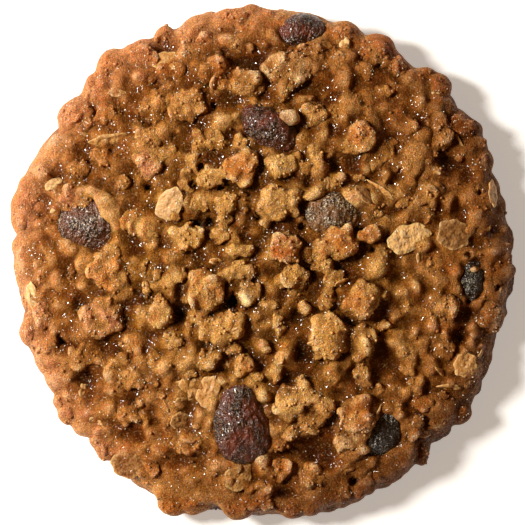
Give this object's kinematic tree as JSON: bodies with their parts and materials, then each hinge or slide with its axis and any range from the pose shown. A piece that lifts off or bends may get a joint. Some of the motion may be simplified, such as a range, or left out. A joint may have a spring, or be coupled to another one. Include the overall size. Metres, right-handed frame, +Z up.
{
  "type": "oatmeal raisin cookie",
  "caption": "Round baked oatmeal raisin cookie with a domed, lumpy top of toasted oat clumps, plump raisins sunk into it, an uneven rounded edge and a flat base.",
  "frame": {"origin": "middle of the flat base, on the surface that the cookie rests on", "axes": "+Z up through the domed top; +Y towards the raisin at the edge, +X to its right when looking down on the top"},
  "size_m": [0.0905, 0.0924, 0.0147],
  "materials": {
    "baked_dough": "matte, grainy baked oat dough, toasted golden to brown, with fine sugar glints",
    "raisin_skin": "dark, wrinkled, slightly sticky dried grape skin"
  },
  "bodies": {
    "root": {"dough": "baked_dough", "raisin_front": "raisin_skin", "raisin_left": "raisin_skin", "raisin_upper": "raisin_skin", "raisin_top_edge": "raisin_skin", "raisin_middle": "raisin_skin", "raisin_right": "raisin_skin", "raisin_lower_right": "raisin_skin"}
  },
  "joints": []
}
